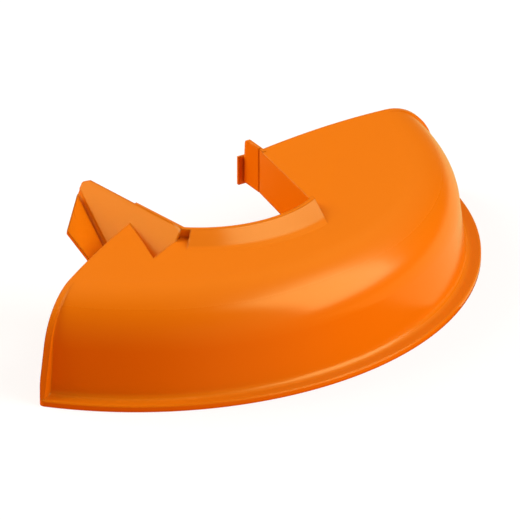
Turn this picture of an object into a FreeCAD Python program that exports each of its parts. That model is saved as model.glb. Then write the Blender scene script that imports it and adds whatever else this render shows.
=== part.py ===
import FreeCAD, Part
import math
import os
from FreeCAD import Vector

# Trimmer blade guard: one moulded hood with a rim flange, a slot for the motor housing, a bracket and a hook.
# Millimetres, +Z up. A plan place is (out, side): out from the cutter axis along the guard's middle line,
# away from the operator, and side to the right. The finished guard is moved back, so that its origin is on
# the axis of the slot's round front, at the level of the rim's underside.

# Hood
RIM_RADIUS = 165.0
WALL = 2.5
WALL_LEAN = 7.0
SHOULDER_RADIUS = 27.0
CROWN_RADIUS = 450.0
CROWN_TOP = 52.2
CROWN_TOP_RADIUS = 93.0
CROWN_INNER_RADIUS = 45.0

# Flange round the rim
FLANGE_WIDTH = 7.0
FLANGE_THICKNESS = 3.0
FLANGE_BEVEL = 0.5
FLANGE_CREASE = 3.0
FLANGE_CORNER_ROUND = 3.0

# Ends of the hood, cut by two upright planes that meet behind the slot
END_ANGLE = 76.15
END_MEETING = 27.8
END_FLANGE_THICKNESS = 3.0
END_FLANGE_LEAN = 15.0
END_FLANGE_SHOULDER = 30.0

# Slot for the motor housing
SLOT_AXIS_OUT = 38.0
SLOT_RADIUS = 60.2
SLOT_RIGHT_OUT = 38.9
SLOT_RIGHT_SIDE = 43.9
SLOT_RIGHT_ANGLE = 26.8
SLOT_LEFT_SIDE = -45.3
SLOT_LEFT_ANGLE = 9.0
SKIRT_WALL = 2.5
SKIRT_BOTTOM = 28.0

# Guide wall on the left of the slot, as high as the collar
GUIDE_WALL = 3.5
GUIDE_BACK = 36.5

# Collar round the front of the slot
COLLAR_TOP = 56.5
COLLAR_LAND = 2.5
COLLAR_SLOPE = 19.0
COLLAR_BLEND = 16.0
COLLAR_FOOT_SLOPE = 5.0
COLLAR_LEFT_ANGLE = -54.0
COLLAR_LEFT_LEAN = 12.0
COLLAR_RIGHT_PLACE = (100.5, 11.4)
COLLAR_RIGHT_ANGLE = -33.0
COLLAR_RIGHT_LEAN = 10.0

# Pocket in the hood's top, between the slot and the left end
POCKET_INNER = (42.0, -56.5)
POCKET_TIP = (74.7, -77.8)
POCKET_FRONT = (71.0, -56.2)

# Bracket: a panel that falls from the guide wall to the left, through the pocket and past the hood's end,
# and a wing that rises again on the left of their fold
PANEL_NORMAL = (-0.067, -0.68, 0.73)
PANEL_LEVEL = 51.5
PLATE = 2.5
PANEL_BACK = (7.7, -44.9)
PANEL_CORNER = (3.6, -46.2)
PANEL_FRONT = (71.5, -53.2)
PANEL_FOOT = (75.5, -79.5)
FOLD_TOP = (4.3, -50.4)
FOLD_FOOT = (46.2, -72.9)
FOLD_GROOVE = 1.5
PANEL_CORNER_ROUND = 1.5
WING_TIP = (28.3, -86.3, 55.0)
WING_FOOT = (50.6, -89.4)

# Rib that ties the bracket to the hood's left end
RIB_DEPTH = 17.0
RIB_INNER_SIDE = -57.0
RIB_OUTER_SIDE = -100.0

# Hook beyond the right wall of the slot
TAB_LENGTH = 15.0
TAB_TOP_LENGTH = 13.4
TAB_WALL = 1.8
TAB_ROOT = 3.0
TAB_TOP = 51.5
TAB_BEND = 8.5
TAB_ROUND = 2.5
TAB_GROOVE = 0.9
LIP_REACH = 2.6
LIP_THICKNESS = 1.5
LIP_TOP = 41.5
LIP_BOTTOM = 26.6

CLEAR = 5.0
FAR = 400.0


def place(out, side, up=0.0):
    """Point from a plan place and a height."""
    return Vector(side, -out, up)


def heading(angle):
    """Plan direction, turned from straight out towards the right."""
    turn = math.radians(angle)
    return place(math.cos(turn), math.sin(turn))


def arc(start, middle, end):
    return Part.Arc(start, middle, end).toShape()


def line(start, end):
    return Part.LineSegment(start, end).toShape()


def rounded_wire(corners):
    """Closed wire through (point, radius) corners, each one rounded by its radius."""
    entries = []
    for index, (corner, radius) in enumerate(corners):
        before = (corners[index - 1][0] - corner).normalize()
        after = (corners[(index + 1) % len(corners)][0] - corner).normalize()
        half = before.getAngle(after) / 2
        reach = radius / math.tan(half)
        bisector = (before + after).normalize()
        middle = corner + bisector * (radius / math.sin(half) - radius)
        entries.append((corner + before * reach, middle, corner + after * reach, radius))
    edges = []
    for index, (start, middle, end, radius) in enumerate(entries):
        if radius > 0:
            edges.append(arc(start, middle, end))
        edges.append(line(end, entries[(index + 1) % len(entries)][0]))
    return Part.Wire(edges)


def prism(plan, low, high):
    """Upright prism over rounded plan corners (place, radius)."""
    wire = rounded_wire([(place(*spot), radius) for spot, radius in plan])
    wire.translate(Vector(0, 0, low))
    return Part.Face(wire).extrude(Vector(0, 0, high - low))


class DomeLine:
    """Wall, shoulder and crown of the hood in a half section, with a given foot, lean and shoulder."""

    def __init__(self, foot, lean, shoulder):
        self.foot = foot
        self.shoulder = shoulder
        self.lean = math.radians(lean)
        self.crown = Vector(CROWN_TOP_RADIUS, 0, CROWN_TOP - CROWN_RADIUS)
        rise = Vector(-math.sin(self.lean), 0, math.cos(self.lean))
        inside = Vector(-math.cos(self.lean), 0, -math.sin(self.lean))
        start = Vector(foot, 0, 0) + inside * shoulder - self.crown
        along = start.dot(rise)
        length = math.sqrt(along ** 2 - start.Length ** 2 + (CROWN_RADIUS - shoulder) ** 2) - along
        self.centre = self.crown + start + rise * length
        self.crown_angle = math.atan2(self.centre.z - self.crown.z, self.centre.x - self.crown.x)

    def wall_point(self, up, inset=0.0):
        """Point of the wall at a height."""
        return Vector(self.foot - inset / math.cos(self.lean) - up * math.tan(self.lean), 0, up)

    def shoulder_point(self, angle, inset):
        reach = self.shoulder - inset
        return self.centre + Vector(math.cos(angle), 0, math.sin(angle)) * reach

    def crown_point(self, radius, inset):
        reach = CROWN_RADIUS - inset
        rise = math.sqrt(reach ** 2 - (radius - self.crown.x) ** 2)
        return Vector(radius, 0, self.crown.z + rise)

    def edges(self, inset=0.0, from_up=0.0):
        """Edges from a height on the wall up and inwards to the crown's inner radius."""
        wall_top = self.shoulder_point(self.lean, inset)
        shoulder_middle = self.shoulder_point((self.lean + self.crown_angle) / 2, inset)
        shoulder_end = self.shoulder_point(self.crown_angle, inset)
        crown_end = self.crown_point(CROWN_INNER_RADIUS, inset)
        crown_middle = self.crown_point((shoulder_end.x + CROWN_INNER_RADIUS) / 2, inset)
        return [
            line(self.wall_point(from_up, inset), wall_top),
            arc(wall_top, shoulder_middle, shoulder_end),
            arc(shoulder_end, crown_middle, crown_end),
        ]


def turned(edges):
    """Solid turned about the cutter axis from a closed set of section edges."""
    wire = Part.Wire(Part.__sortEdges__(edges))
    return Part.Face(wire).revolve(Vector(0, 0, 0), Vector(0, 0, 1), 360)


def shell_edges(outer, inner):
    """Close two dome lines into one section, at the foot and at the crown's inner radius."""
    foot = line(inner[0].Vertexes[0].Point, outer[0].Vertexes[0].Point)
    end = line(outer[-1].Vertexes[-1].Point, inner[-1].Vertexes[-1].Point)
    return outer + inner + [foot, end]


def rim_flange(wall):
    """Flange ring round the foot of the wall, with a bevelled edge and a filleted crease."""
    lean = wall.lean
    blend_up = FLANGE_THICKNESS + FLANGE_CREASE
    blend_centre = wall.wall_point(blend_up, -FLANGE_CREASE)
    on_flange = Vector(blend_centre.x, 0, FLANGE_THICKNESS)
    half = (math.pi + lean + 1.5 * math.pi) / 2
    blend_middle = blend_centre + Vector(math.cos(half), 0, math.sin(half)) * FLANGE_CREASE
    on_wall = blend_centre + Vector(-math.cos(lean), 0, -math.sin(lean)) * FLANGE_CREASE
    inner_top = wall.wall_point(on_wall.z, WALL)
    inner_foot = wall.wall_point(0, WALL)
    edge_low = Vector(RIM_RADIUS, 0, FLANGE_THICKNESS - FLANGE_BEVEL)
    edge_top = Vector(RIM_RADIUS - FLANGE_BEVEL, 0, FLANGE_THICKNESS)
    return turned([
        line(inner_foot, Vector(RIM_RADIUS, 0, 0)),
        line(Vector(RIM_RADIUS, 0, 0), edge_low),
        line(edge_low, edge_top),
        line(edge_top, on_flange),
        arc(on_flange, blend_middle, on_wall),
        line(on_wall, inner_top),
        line(inner_top, inner_foot),
    ])


def sector(inset):
    """Prism over all that lies between the two end planes, moved inwards by inset."""
    meeting = END_MEETING + inset / math.sin(math.radians(END_ANGLE))
    corners = [(place(meeting, 0), 0)]
    for angle in (END_ANGLE, 0.5 * END_ANGLE, 0, -0.5 * END_ANGLE, -END_ANGLE):
        corners.append((place(meeting, 0) + heading(angle) * FAR, 0))
    wire = rounded_wire(corners)
    wire.translate(Vector(0, 0, -CLEAR))
    return Part.Face(wire).extrude(Vector(0, 0, FAR))


def rounded_plan():
    """Prism over the hood's outline seen from above, with rounded corners where the ends meet the rim."""
    disc = Part.makeCylinder(RIM_RADIUS - FLANGE_CORNER_ROUND, FAR, Vector(0, 0, -CLEAR))
    core = disc.common(sector(FLANGE_CORNER_ROUND))
    floor = min(core.Faces, key=lambda face: face.CenterOfMass.z)
    outline = floor.makeOffset2D(FLANGE_CORNER_ROUND)
    return outline.extrude(Vector(0, 0, FAR))


def hood():
    """Shell of the hood with its rim flange and the flanges along both ends."""
    wall = DomeLine(RIM_RADIUS - FLANGE_WIDTH, WALL_LEAN, SHOULDER_RADIUS)
    edge = DomeLine(RIM_RADIUS, END_FLANGE_LEAN, END_FLANGE_SHOULDER)
    shell = turned(shell_edges(wall.edges(), wall.edges(WALL)))
    thick = turned(shell_edges(edge.edges(), wall.edges(WALL)))
    ends = sector(0).cut(sector(END_FLANGE_THICKNESS))
    whole = shell.fuse(rim_flange(wall)).common(sector(0)).fuse(thick.common(ends))
    return whole.common(rounded_plan())


def slot_right(grow=0.0):
    """Two places on the right wall of the slot, moved out of the slot by grow."""
    angle = math.radians(SLOT_RIGHT_ANGLE)
    out = SLOT_RIGHT_OUT + grow * math.sin(angle)
    side = SLOT_RIGHT_SIDE + grow * math.cos(angle)
    run = Vector(math.cos(angle), -math.sin(angle), 0) * FAR
    return (out - run.x, side - run.y), (out + run.x, side + run.y)


def slot_left(out, grow=0.0):
    """Place on the left wall of the slot, moved out of the slot by grow."""
    angle = math.radians(SLOT_LEFT_ANGLE)
    side = SLOT_LEFT_SIDE - (out - SLOT_AXIS_OUT) * math.tan(angle) - grow / math.cos(angle)
    return (out, side)


def pocket_line(along):
    """Place on the line of the pocket's left edge."""
    edge = Vector(*POCKET_TIP) - Vector(*POCKET_INNER)
    edge.normalize()
    spot = Vector(*POCKET_INNER) + edge * along
    return (spot.x, spot.y)


def slot_prism(grow, low, high):
    """Room of the slot: a round front between the right wall and the guide wall."""
    front = Part.makeCylinder(SLOT_RADIUS + grow, high - low, place(SLOT_AXIS_OUT, 0, low))
    back_right, front_right = slot_right(grow)
    between = prism([
        (back_right, 0),
        (front_right, 0),
        (slot_left(FAR, grow), 0),
        (slot_left(-FAR, grow), 0),
    ], low, high)
    return front.common(between)


def pocket_prism(grow, low, high):
    """Room of the pocket, on the left of the guide wall."""
    corners = [
        slot_left(POCKET_FRONT[0], GUIDE_WALL),
        POCKET_FRONT,
        POCKET_TIP,
        pocket_line(-CLEAR),
        slot_left(GUIDE_BACK, GUIDE_WALL),
    ]
    wire = rounded_wire([(place(*corner), 0) for corner in corners])
    if grow:
        wire = wire.makeOffset2D(grow)
    wire.translate(Vector(0, 0, low))
    return Part.Face(wire).extrude(Vector(0, 0, high - low))


def skirt():
    """Wall that hangs round the slot and the pocket, before their rooms are cut."""
    top = CROWN_TOP - WALL
    ring = slot_prism(SKIRT_WALL, SKIRT_BOTTOM, top).fuse(pocket_prism(SKIRT_WALL, SKIRT_BOTTOM, top))
    return ring.common(sector(0))


def guide():
    """Wall on the left of the slot, level with the collar and joined to it round the slot's corner."""
    front = SLOT_AXIS_OUT + SLOT_RADIUS
    wall = prism([
        (slot_left(GUIDE_BACK), 0),
        (slot_left(front), 0),
        (slot_left(front, GUIDE_WALL), 0),
        (slot_left(GUIDE_BACK, GUIDE_WALL), 0),
    ], SKIRT_BOTTOM, COLLAR_TOP)
    base = place(SLOT_AXIS_OUT, 0, SKIRT_BOTTOM)
    land = Part.makeCylinder(SLOT_RADIUS + COLLAR_LAND, COLLAR_TOP - SKIRT_BOTTOM, base)
    corner = prism([
        (slot_left(SLOT_AXIS_OUT, GUIDE_WALL), 0),
        (slot_left(front, GUIDE_WALL), 0),
        (slot_left(front, -FAR), 0),
        (slot_left(SLOT_AXIS_OUT, -FAR), 0),
    ], SKIRT_BOTTOM, COLLAR_TOP)
    left = end_block((SLOT_AXIS_OUT, 0), COLLAR_LEFT_ANGLE, 0, -1)
    return wall.common(land).fuse(corner.common(land).common(left)).cut(slot_prism(0, 0, FAR))


def end_block(spot, angle, lean, keep):
    """All that lies on one side (keep 1 right, -1 left) of a leaning end of the collar."""
    along = heading(angle)
    across = heading(angle + 90)
    run = math.tan(math.radians(lean))
    corners = []
    for up, side in ((0, 0), (0, FAR), (FAR, FAR), (FAR, 0)):
        shift = side if side else (up - COLLAR_TOP) * run
        corners.append((place(*spot, up) - along * FAR + across * (keep * shift), 0))
    return Part.Face(rounded_wire(corners)).extrude(along * (2 * FAR))


def collar():
    """Raised collar round the front of the slot, with a flat land and a sloping outer face."""
    slope = math.radians(COLLAR_SLOPE)
    foot_slope = math.radians(COLLAR_FOOT_SLOPE)
    foot_up = CROWN_TOP - WALL / 2
    inner_top = Vector(SLOT_RADIUS, 0, COLLAR_TOP)
    inner_foot = Vector(SLOT_RADIUS, 0, foot_up)
    ridge = Vector(SLOT_RADIUS + COLLAR_LAND, 0, COLLAR_TOP)
    blend_drop = COLLAR_BLEND * (math.cos(foot_slope) - math.cos(slope))
    face_drop = COLLAR_TOP - foot_up - blend_drop
    face_end = ridge + Vector(face_drop / math.tan(slope), 0, -face_drop)
    centre = face_end + Vector(math.sin(slope), 0, math.cos(slope)) * COLLAR_BLEND
    half = (slope + foot_slope) / 2
    middle = centre - Vector(math.sin(half), 0, math.cos(half)) * COLLAR_BLEND
    foot = centre - Vector(math.sin(foot_slope), 0, math.cos(foot_slope)) * COLLAR_BLEND
    section = Part.Face(Part.Wire([
        line(inner_foot, inner_top),
        line(inner_top, ridge),
        line(ridge, face_end),
        arc(face_end, middle, foot),
        line(foot, inner_foot),
    ]))
    ring = section.revolve(Vector(0, 0, 0), Vector(0, 0, -1), 180)
    ring.translate(place(SLOT_AXIS_OUT, 0))
    left = end_block((SLOT_AXIS_OUT, 0), COLLAR_LEFT_ANGLE, COLLAR_LEFT_LEAN, 1)
    right = end_block(COLLAR_RIGHT_PLACE, COLLAR_RIGHT_ANGLE, COLLAR_RIGHT_LEAN, -1)
    return ring.common(left).common(right)


def lifted(spot, base, normal):
    """Point over a plan place on the plane through base."""
    level = place(*spot)
    fall = normal.dot(level - base)
    return level - Vector(0, 0, fall / normal.z)


def on_panel(spot):
    """Point of the panel's face over a plan place."""
    normal = place(*PANEL_NORMAL)
    return lifted(spot, place(*POCKET_INNER, PANEL_LEVEL), normal)


def wing_normal():
    """Upward normal of the wing's face, which holds the fold and the wing's tip."""
    top = on_panel(FOLD_TOP)
    return (place(*WING_TIP) - top).cross(on_panel(FOLD_FOOT) - top)


def on_wing(spot):
    """Point of the wing's face over a plan place."""
    return lifted(spot, on_panel(FOLD_TOP), wing_normal())


def bracket():
    """Panel on the left of the guide wall, and the wing that rises from their fold."""
    panel_wire = rounded_wire([
        (on_panel(PANEL_BACK), 0),
        (on_panel(PANEL_FRONT), 0),
        (on_panel(PANEL_FOOT), 0),
        (on_panel(FOLD_FOOT), 0),
        (on_panel(FOLD_TOP), 0),
        (on_panel(PANEL_CORNER), PANEL_CORNER_ROUND),
    ])
    wing_wire = rounded_wire([
        (on_panel(FOLD_TOP), 0),
        (on_panel(FOLD_FOOT), 0),
        (on_wing(WING_FOOT), 0),
        (on_wing(WING_TIP[:2]), 0),
    ])
    # Both plates are thickened the same way, so that they meet along the whole fold.
    through = (place(*PANEL_NORMAL).normalize() + wing_normal().normalize()).normalize() * -PLATE
    plates = Part.Face(panel_wire).extrude(through).fuse(Part.Face(wing_wire).extrude(through))
    fold = on_panel(FOLD_FOOT) - on_panel(FOLD_TOP)
    clear = fold.normalize() * CLEAR
    length = on_panel(FOLD_FOOT).distanceToPoint(on_panel(FOLD_TOP)) + 2 * CLEAR
    return plates.cut(Part.makeCylinder(FOLD_GROOVE, length, on_panel(FOLD_TOP) - clear, clear))


def tie_rib():
    """Rib under the left end of the hood, which the bracket's plates run into."""
    low = CROWN_TOP - RIB_DEPTH
    high = CROWN_TOP - WALL / 2
    band = prism([
        ((0, RIB_OUTER_SIDE), 0),
        ((FAR, RIB_OUTER_SIDE), 0),
        ((FAR, RIB_INNER_SIDE), 0),
        ((0, RIB_INNER_SIDE), 0),
    ], low, high)
    return band.common(sector(0)).cut(sector(END_FLANGE_THICKNESS))


def hook():
    """Tab that carries the slot's right wall on past the hood's end, with a plate and a lip at its back."""
    angle = math.radians(SLOT_RIGHT_ANGLE - TAB_BEND)
    back = place(-math.cos(angle), math.sin(angle))
    away = place(math.sin(angle), math.cos(angle))
    start = place(SLOT_RIGHT_OUT, SLOT_RIGHT_SIDE)

    def slab(corners, low, high):
        """Plate over (along, up, radius) corners of the tab, between two depths from the tab's face."""
        points = [(start + back * along + Vector(0, 0, up), radius) for along, up, radius in corners]
        wire = rounded_wire(points)
        wire.translate(away * low)
        return Part.Face(wire).extrude(away * (high - low))

    tab = slab([
        (-TAB_ROOT, SKIRT_BOTTOM, 0),
        (TAB_LENGTH, SKIRT_BOTTOM, 0),
        (TAB_TOP_LENGTH, TAB_TOP, TAB_ROUND),
        (-TAB_ROOT, TAB_TOP, 0),
    ], 0, TAB_WALL)
    groove = slab([
        (0, SKIRT_BOTTOM - CLEAR, 0),
        (TAB_GROOVE, SKIRT_BOTTOM - CLEAR, 0),
        (TAB_GROOVE, TAB_TOP + CLEAR, 0),
        (0, TAB_TOP + CLEAR, 0),
    ], -CLEAR, TAB_GROOVE)
    plate = slab([
        (0, LIP_BOTTOM, 0),
        (TAB_LENGTH + LIP_THICKNESS, LIP_BOTTOM, 0),
        (TAB_LENGTH + LIP_THICKNESS, LIP_TOP, 0),
        (0, LIP_TOP, 0),
    ], TAB_WALL, TAB_WALL + LIP_THICKNESS)
    lip = slab([
        (TAB_LENGTH, LIP_BOTTOM, 0),
        (TAB_LENGTH + LIP_THICKNESS, LIP_BOTTOM, 0),
        (TAB_LENGTH + LIP_THICKNESS, LIP_TOP, 0),
        (TAB_LENGTH, LIP_TOP, 0),
    ], -LIP_REACH, TAB_WALL)
    return tab.cut(groove).fuse([plate, lip])


def main():
    room = slot_prism(0, 0, FAR)
    body = hood().fuse([skirt(), collar()]).cut(room.fuse(pocket_prism(0, 0, FAR)))
    body = body.fuse([guide(), tie_rib(), hook(), bracket().cut(room)]).removeSplitter()
    body.translate(place(-SLOT_AXIS_OUT, 0))
    print("solids", len(body.Solids), "volume", round(body.Volume), "valid", body.isValid())
    os.makedirs("parts", exist_ok=True)
    body.exportStep("parts/blade_guard.step")


main()
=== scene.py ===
import math

import bpy
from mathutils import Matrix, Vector


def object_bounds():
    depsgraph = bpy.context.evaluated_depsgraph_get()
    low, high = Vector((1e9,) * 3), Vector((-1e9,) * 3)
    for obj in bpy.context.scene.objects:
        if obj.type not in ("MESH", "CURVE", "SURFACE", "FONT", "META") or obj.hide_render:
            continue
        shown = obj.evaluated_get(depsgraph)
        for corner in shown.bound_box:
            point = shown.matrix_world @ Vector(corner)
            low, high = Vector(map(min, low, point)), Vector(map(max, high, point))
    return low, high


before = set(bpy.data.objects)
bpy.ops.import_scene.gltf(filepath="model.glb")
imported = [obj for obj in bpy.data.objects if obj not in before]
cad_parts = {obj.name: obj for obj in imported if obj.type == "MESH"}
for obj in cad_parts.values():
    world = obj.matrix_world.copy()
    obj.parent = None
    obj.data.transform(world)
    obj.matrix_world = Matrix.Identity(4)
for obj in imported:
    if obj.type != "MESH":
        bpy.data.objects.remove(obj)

cad_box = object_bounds()

# Viewing angle of the photograph, in the guard's own frame
VIEW_AZIMUTH = math.radians(-50.35)
VIEW_ELEVATION = math.radians(26.97)
VIEW_DISTANCE = 5.0
VIEW_AIM = Vector((0.0314, -0.0115, 0.0))
VIEW_LIMIT = 100.0
PIXELS_PER_METRE = 2071.9
PICTURE_SIDE = 520
SENSOR = 36.0

UP = Vector((0, 0, 1))
WHITE = (1.0, 1.0, 1.0, 1.0)

# Floor, part of it glowing white and the rest matt, so that a faint shadow stays
FLOOR_RADIUS = 8.0
FLOOR_SIDES = 96
FLOOR_MATT_SHARE = 0.25
FLOOR_MATT = (0.95, 0.95, 0.95, 1.0)

# Orange of the plastic between two shades, and the warm tint of its gleams
LIGHT_ORANGE = (0.73, 0.162, 0.0006, 1.0)
DEEP_ORANGE = (0.70, 0.154, 0.0004, 1.0)
GLEAM_TINT = (1.0, 0.90, 0.28, 1.0)
PLASTIC_IOR = 1.5
EDGE_ROUNDING = 0.0014
EDGE_SAMPLES = 4

# Slow drift of colour and gloss, and fine grain of the mould
DRIFT_SCALE = 16.0
GRAIN_SCALE = 2600.0
NOISE_DETAIL = 2.0
GRAIN_STRENGTH = 0.06
GRAIN_DEPTH = 0.0002

# Roughness of the gloss, and what drift, grain and satin add to it at most
GLOSS_ROUGHNESS = 0.17
DRIFT_ROUGHNESS = 0.06
GRAIN_ROUGHNESS = 0.04
SATIN_ROUGHNESS = 0.22

# Heights of the normals between which gloss goes over into the satin of the flat top
SATIN_FULL = math.cos(math.radians(8.0))
SATIN_END = math.cos(math.radians(50.0))

# Sloping face of the collar, a cone about the frame's Z axis, and its polish
COLLAR_RIDGE_RADIUS = 0.0627
COLLAR_RIDGE_HEIGHT = 0.0565
COLLAR_FALL = math.tan(math.radians(19.0))
COLLAR_FOOT_RADIUS = 0.0738
COLLAR_FADE = 0.0015
COLLAR_SKIN = 0.0003
POLISH_ROUGHNESS = 0.12
POLISH_IOR = 1.8

# Light of the surround: pale from above, and the warm bounce that the walls get from below
FROM_ABOVE = (0.40, 0.35, 0.30, 1.0)
FROM_BELOW = (1.0, 0.20, 0.05, 1.0)

# Lamps
LAMP_DISTANCE = 1.5
CARD_UP = 0.001
PLAIN = (1.0, 1.0, 1.0)
WARM = (1.0, 0.95, 0.38)


class Wire:
    """A shader socket that does arithmetic: an expression on wires adds Math nodes."""

    def __init__(self, sheet, socket):
        self.sheet = sheet
        self.socket = socket

    def math(self, operation, first, second):
        return self.sheet.node("ShaderNodeMath", {"operation": operation}, {0: first, 1: second})

    def __add__(self, other):
        return self.math("ADD", self, other)

    def __radd__(self, other):
        return self.math("ADD", other, self)

    def __sub__(self, other):
        return self.math("SUBTRACT", self, other)

    def __rsub__(self, other):
        return self.math("SUBTRACT", other, self)

    def __mul__(self, other):
        return self.math("MULTIPLY", self, other)

    def __rmul__(self, other):
        return self.math("MULTIPLY", other, self)

    def __gt__(self, other):
        return self.math("GREATER_THAN", self, other)

    def __lt__(self, other):
        return self.math("LESS_THAN", self, other)

    def __abs__(self):
        return self.math("ABSOLUTE", self, 0)

    def clamped(self):
        return self.sheet.node("ShaderNodeClamp", None, {"Value": self})


class Sheet:
    """Node tree of one material, or of the world."""

    def __init__(self, owner):
        owner.use_nodes = True
        self.owner = owner
        self.tree = owner.node_tree
        self.tree.nodes.clear()

    def node(self, kind, settings=None, sockets=None, output=0):
        """Add a node: its settings first, then its sockets' values or wires. Gives one output."""
        made = self.tree.nodes.new(kind)
        for name, value in (settings or {}).items():
            setattr(made, name, value)
        for name, value in (sockets or {}).items():
            if isinstance(value, Wire):
                self.tree.links.new(value.socket, made.inputs[name])
            else:
                made.inputs[name].default_value = value
        return Wire(self, made.outputs[output]) if made.outputs else None

    def mixed(self, factor, first, second):
        """Colour between two colours."""
        sockets = {0: factor, 6: first, 7: second}
        return self.node("ShaderNodeMix", {"data_type": "RGBA"}, sockets, 2)

    def noise(self, place, scale):
        sockets = {"Vector": place, "Scale": scale, "Detail": NOISE_DETAIL}
        return self.node("ShaderNodeTexNoise", None, sockets)

    def height_of(self, vector):
        return self.node("ShaderNodeSeparateXYZ", None, {0: vector}, "Z")

    def surface(self, shader, output="ShaderNodeOutputMaterial"):
        """End the tree in a shader. Gives the material or the world."""
        self.node(output, None, {"Surface": shader})
        return self.owner


def collar_polish(sheet, place):
    """Share of polish: 1 on the collar's sloping face, fading out at its foot, and 0 elsewhere."""
    level = sheet.node("ShaderNodeVectorMath", {"operation": "MULTIPLY"}, {0: place, 1: (1, 1, 0)})
    radius = sheet.node("ShaderNodeVectorMath", {"operation": "LENGTH"}, {0: level}, "Value")
    face_height = COLLAR_RIDGE_HEIGHT - (radius - COLLAR_RIDGE_RADIUS) * COLLAR_FALL
    on_face = abs(sheet.height_of(place) - face_height) < COLLAR_SKIN
    return on_face * ((COLLAR_FOOT_RADIUS - radius) * (1 / COLLAR_FADE)).clamped()


def top_satin(sheet):
    """Share of satin: 1 on faces that look up, as the hood's top, falling to 0 on steep ones."""
    normal = sheet.node("ShaderNodeNewGeometry", output="Normal")
    return sheet.node("ShaderNodeMapRange", {"interpolation_type": "SMOOTHSTEP"}, {
        "Value": sheet.height_of(normal),
        "From Min": SATIN_END,
        "From Max": SATIN_FULL,
    })


def orange_plastic():
    """Orange moulding: drifting colour and gloss, fine grain, a satin top and a polished collar."""
    sheet = Sheet(bpy.data.materials.new("orange_plastic"))
    place = sheet.node("ShaderNodeTexCoord", output="Object")
    drift = sheet.noise(place, DRIFT_SCALE)
    grain = sheet.noise(place, GRAIN_SCALE)
    soft_edges = sheet.node("ShaderNodeBevel", {"samples": EDGE_SAMPLES}, {"Radius": EDGE_ROUNDING})
    grain_bump = sheet.node("ShaderNodeBump", None, {
        "Strength": GRAIN_STRENGTH,
        "Distance": GRAIN_DEPTH,
        "Height": grain,
        "Normal": soft_edges,
    })
    uneven_gloss = GLOSS_ROUGHNESS + DRIFT_ROUGHNESS * drift + GRAIN_ROUGHNESS * grain
    return sheet.surface(sheet.node("ShaderNodeBsdfPrincipled", None, {
        "Base Color": sheet.mixed(drift, LIGHT_ORANGE, DEEP_ORANGE),
        "Roughness": uneven_gloss + SATIN_ROUGHNESS * top_satin(sheet),
        "IOR": PLASTIC_IOR,
        "Specular Tint": GLEAM_TINT,
        "Normal": grain_bump,
        "Coat Weight": collar_polish(sheet, place),
        "Coat Roughness": POLISH_ROUGHNESS,
        "Coat IOR": POLISH_IOR,
    }))


def pale_floor_paint():
    """White floor that keeps a faint shadow."""
    sheet = Sheet(bpy.data.materials.new("pale_floor_paint"))
    glow = sheet.node("ShaderNodeEmission", None, {"Color": WHITE, "Strength": 1.0})
    matt = sheet.node("ShaderNodeBsdfDiffuse", None, {"Color": FLOOR_MATT})
    return sheet.surface(sheet.node("ShaderNodeMixShader", None, {
        0: FLOOR_MATT_SHARE,
        1: glow,
        2: matt,
    }))


def dress_guard():
    """Give the moulding its plastic."""
    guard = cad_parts["blade_guard"]
    guard.data.materials.clear()
    guard.data.materials.append(orange_plastic())


def from_view(right, away, up):
    """Direction in the guard's frame from one given as the camera sees it."""
    across = Vector((math.cos(VIEW_AZIMUTH), math.sin(VIEW_AZIMUTH), 0))
    ahead = Vector((-math.sin(VIEW_AZIMUTH), math.cos(VIEW_AZIMUTH), 0))
    return across * right + ahead * away + UP * up


def point_at(thing, target):
    thing.rotation_mode = "QUATERNION"
    thing.rotation_quaternion = (target - thing.location).to_track_quat("-Z", "Y")


def lay_floor():
    bpy.ops.mesh.primitive_circle_add(vertices=FLOOR_SIDES, radius=FLOOR_RADIUS, fill_type="NGON")
    floor = bpy.context.object
    floor.name = "floor"
    floor.location.z = cad_box[0].z
    floor.data.materials.append(pale_floor_paint())
    floor.visible_glossy = False
    floor.visible_diffuse = False


def panel_lamp(name, width, height, radiance, colour):
    """Rectangular lamp of a given brightness, still to be placed."""
    lamp = bpy.data.lights.new(name, "AREA")
    lamp.shape = "RECTANGLE"
    lamp.size = width
    lamp.size_y = height
    lamp.energy = radiance * math.pi * width * height
    lamp.color = colour
    holder = bpy.data.objects.new(name, lamp)
    bpy.context.scene.collection.objects.link(holder)
    return holder


def softbox(name, turn, rise, width, height, radiance, colour=PLAIN, mirrored=True):
    """Lamp turned to the guard: turn from the picture's right to its back, rise above level.

    A lamp that is not mirrored lights the plastic but leaves no gleam on it.
    """
    turn = math.radians(turn)
    rise = math.radians(rise)
    level = math.cos(rise)
    direction = from_view(level * math.cos(turn), level * math.sin(turn), math.sin(rise))
    holder = panel_lamp(name, width, height, radiance, colour)
    holder.location = VIEW_AIM + direction * LAMP_DISTANCE
    point_at(holder, VIEW_AIM)
    holder.visible_glossy = mirrored


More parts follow.
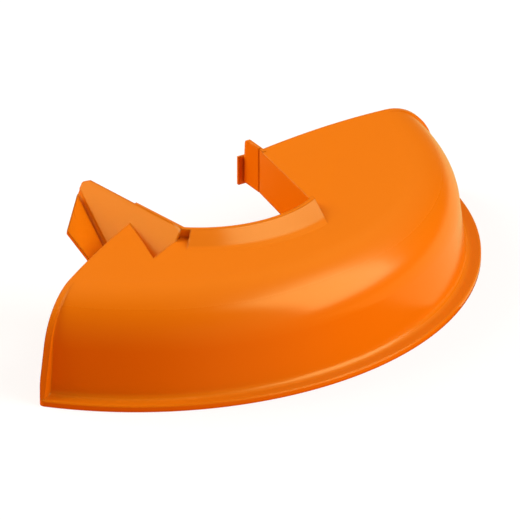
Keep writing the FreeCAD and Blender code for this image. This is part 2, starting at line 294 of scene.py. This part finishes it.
def floor_card(name, right, away, width, depth, radiance):
    """Warm card that lies on the floor and shows only as a gleam on the wall beside it."""
    holder = panel_lamp(name, width, depth, radiance, WARM)
    holder.location = VIEW_AIM + from_view(right, away, CARD_UP)
    point_at(holder, holder.location + UP)
    holder.visible_diffuse = False
    holder.visible_camera = False


def light_surround():
    """Soft light from all round, which the camera sees as white and the gloss doesn't show."""
    world = bpy.data.worlds.new("surround")
    sheet = Sheet(world)
    direction = sheet.node("ShaderNodeTexCoord", output="Generated")
    light = sheet.mixed(sheet.height_of(direction) > 0, FROM_BELOW, FROM_ABOVE)
    to_camera = sheet.node("ShaderNodeLightPath", output="Is Camera Ray")
    glow = sheet.node("ShaderNodeBackground", None, {"Color": sheet.mixed(to_camera, light, WHITE)})
    bpy.context.scene.world = sheet.surface(glow, "ShaderNodeOutputWorld")
    # The floor would stop samples sent below the horizon, so only bounced rays find this light
    world.cycles.sampling_method = "NONE"
    world.cycles_visibility.glossy = False


def light_studio():
    softbox("right_softbox", turn=-11, rise=38, width=1.15, height=1.35, radiance=4.45)
    softbox("front_fill", turn=-50, rise=8, width=1.5, height=1.5, radiance=0.6, mirrored=False)
    softbox("back_strip", turn=69, rise=54, width=0.30, height=0.72, radiance=1.4, colour=WARM)
    softbox("left_softbox", turn=167, rise=41, width=1.0, height=1.0, radiance=1.37, colour=WARM)
    softbox("left_fill", turn=160, rise=24, width=1.5, height=1.5, radiance=3.8, mirrored=False)
    floor_card("right_card", right=0.42, away=0.2, width=0.80, depth=1.2, radiance=0.8)


def set_camera():
    lens = bpy.data.cameras.new("camera")
    lens.sensor_width = SENSOR
    lens.lens = PIXELS_PER_METRE * VIEW_DISTANCE * SENSOR / PICTURE_SIDE
    lens.clip_end = VIEW_LIMIT
    camera = bpy.data.objects.new("camera", lens)
    bpy.context.scene.collection.objects.link(camera)
    back = -math.cos(VIEW_ELEVATION)
    camera.location = VIEW_AIM + from_view(0, back, math.sin(VIEW_ELEVATION)) * VIEW_DISTANCE
    point_at(camera, VIEW_AIM)
    bpy.context.scene.camera = camera


dress_guard()
lay_floor()
light_surround()
light_studio()
set_camera()
bpy.context.scene.view_settings.view_transform = "Standard"
